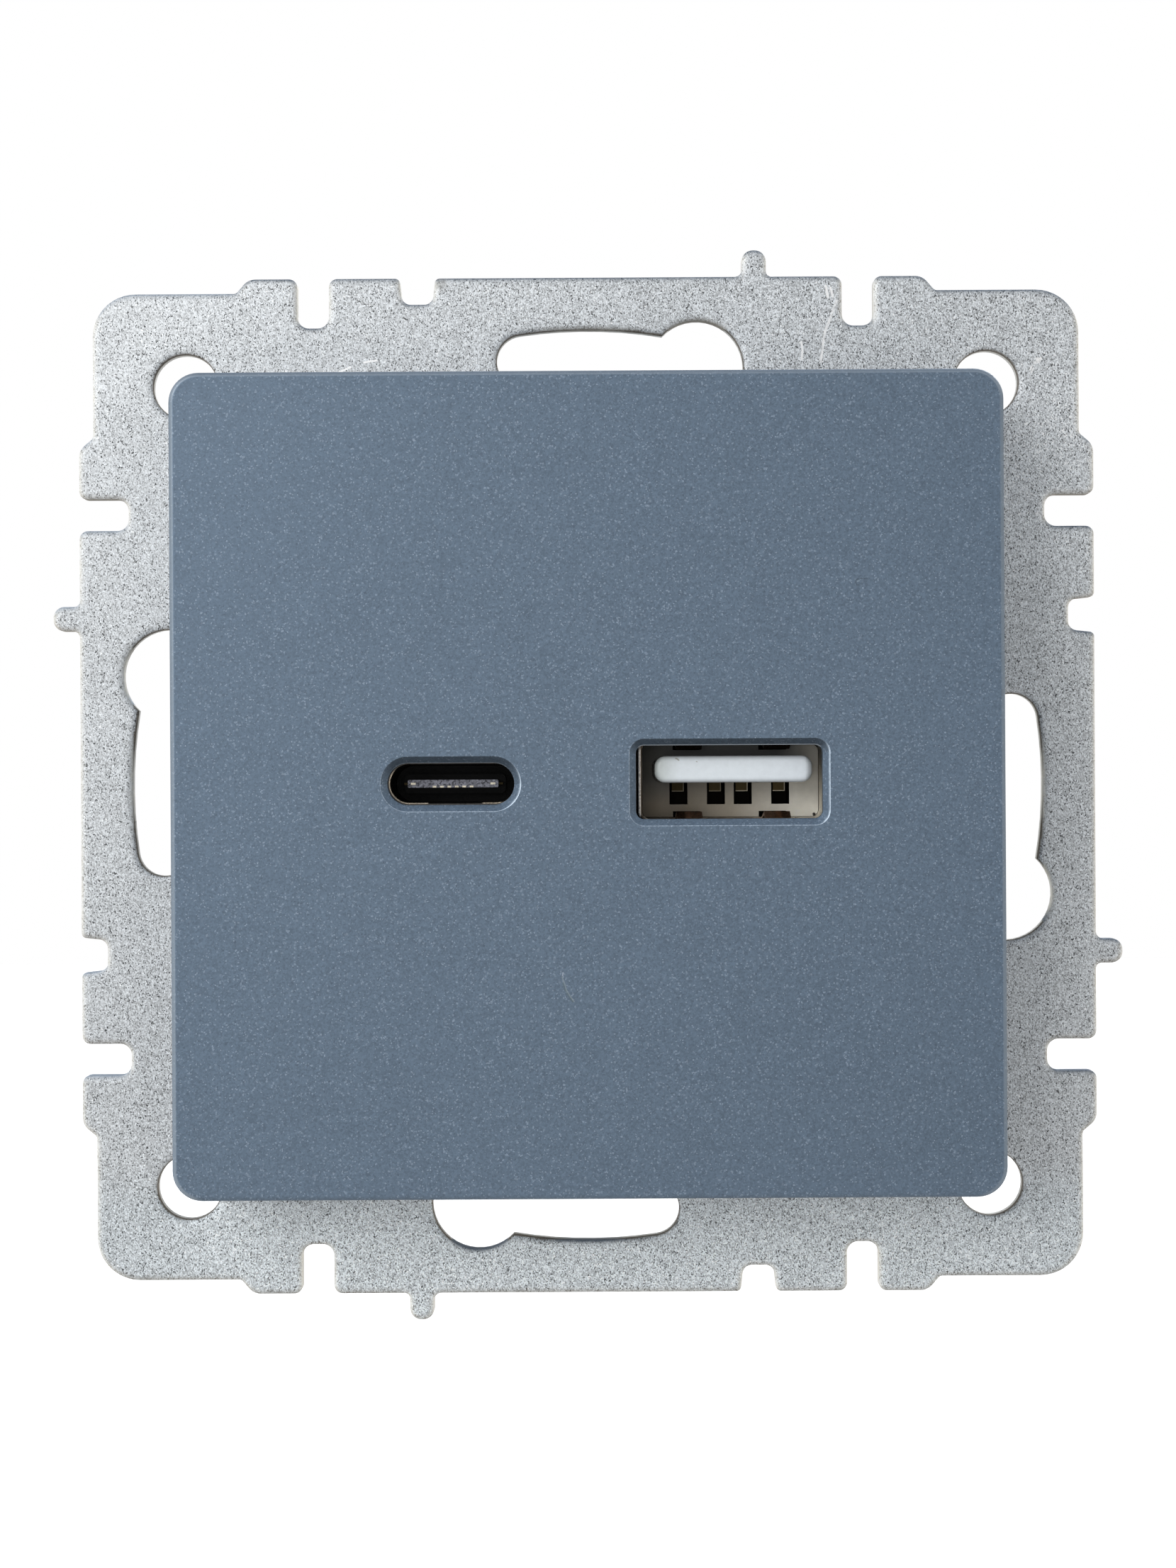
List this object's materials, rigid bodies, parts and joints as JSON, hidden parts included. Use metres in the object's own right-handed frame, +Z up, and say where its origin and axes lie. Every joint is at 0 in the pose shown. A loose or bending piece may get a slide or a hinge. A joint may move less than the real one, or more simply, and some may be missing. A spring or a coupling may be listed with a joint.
{
  "type": "usb wall socket",
  "caption": "Flush-mounting USB charging wall socket: square blue-grey cover with an oval type C port and a rectangular type A port, on a zinc-plated steel support frame.",
  "frame": {"origin": "centre of the support frame's corner-hole square, on the steel's rear face that lies on the wall", "axes": "+X to the right and +Z up as seen from the room, +Y into the wall, so the cover faces -Y"},
  "size_m": [0.0746, 0.0398, 0.0746],
  "materials": {
    "painted_cover": "matte metallic paint",
    "zinc_steel": "satin zinc plating",
    "grey_moulding": "moulded",
    "white_moulding": "moulded",
    "screw_steel": "zinc plated",
    "nickel": "nickel plated",
    "white_insulator": "moulded",
    "black_insulator": "moulded",
    "gold_contacts": "gold plated",
    "copper_bar": "tin plated",
    "circuit_board": "solder mask",
    "header_plastic": "moulded",
    "ferrite": "ground",
    "bobbin_plastic": "moulded",
    "winding_tape": "tape",
    "tinned_pins": "tinned",
    "capacitor_sleeve": "shrink sleeve",
    "capacitor_can": "bright",
    "resistor_body": "lacquered",
    "disc_lacquer": "lacquered",
    "chip_black": "moulded",
    "chip_tan": "sintered",
    "sheet_film": "film",
    "terminal_plastic": "moulded"
  },
  "bodies": {
    "socket": {"front_cover": "painted_cover", "support_frame": "zinc_steel", "carrier": "grey_moulding", "rear_housing": "white_moulding", "housing_screws": "screw_steel", "usb_a_shell": "nickel", "usb_a_insulator": "white_insulator", "usb_a_contacts": "gold_contacts", "usb_c_shell": "nickel", "usb_c_insulator": "black_insulator", "usb_c_mid_plate": "nickel", "usb_c_contacts": "gold_contacts", "connector_board": "circuit_board", "power_board": "circuit_board", "link_header_pins": "gold_contacts", "link_header_spacer": "header_plastic", "charge_controller": "chip_black", "chip_parts": "chip_tan", "transformer_core": "ferrite", "transformer_bobbin": "bobbin_plastic", "transformer_winding": "winding_tape", "transformer_pins": "tinned_pins", "input_capacitors": "capacitor_sleeve", "output_capacitors": "capacitor_can", "fuse_resistor": "resistor_body", "line_choke": "ferrite", "safety_capacitor": "disc_lacquer", "bridge_rectifier": "chip_black", "power_controller": "chip_black", "optocoupler": "chip_black", "output_rectifier": "chip_black", "insulating_sheet": "sheet_film", "terminal_block": "terminal_plastic", "line_bar": "copper_bar", "neutral_bar": "copper_bar"},
    "line_cage": {"line_clamp_cage": "nickel"},
    "neutral_cage": {"neutral_clamp_cage": "nickel"},
    "line_screw": {"line_clamp_screw": "screw_steel"},
    "neutral_screw": {"neutral_clamp_screw": "screw_steel"}
  },
  "joints": [
    {"name": "line_cage_rise", "type": "slide", "parent": "socket", "child": "line_cage", "axis": [0, 1, 0], "range_m": [0, 0.0025]},
    {"name": "line_screw_turn", "type": "hinge", "parent": "socket", "child": "line_screw", "pos_m": [-0.0055, 0.0245, 0.0145], "axis": [0, -1, 0], "range_deg": [0, 1802]},
    {"name": "neutral_cage_rise", "type": "slide", "parent": "socket", "child": "neutral_cage", "axis": [0, 1, 0], "range_m": [0, 0.0025]},
    {"name": "neutral_screw_turn", "type": "hinge", "parent": "socket", "child": "neutral_screw", "pos_m": [0.0055, 0.0245, 0.0145], "axis": [0, -1, 0], "range_deg": [0, 1802]}
  ],
  "couplings": [
    {"joint": "line_screw_turn", "follows": "line_cage_rise", "rad_per_m": 12566},
    {"joint": "neutral_screw_turn", "follows": "neutral_cage_rise", "rad_per_m": 12566}
  ]
}
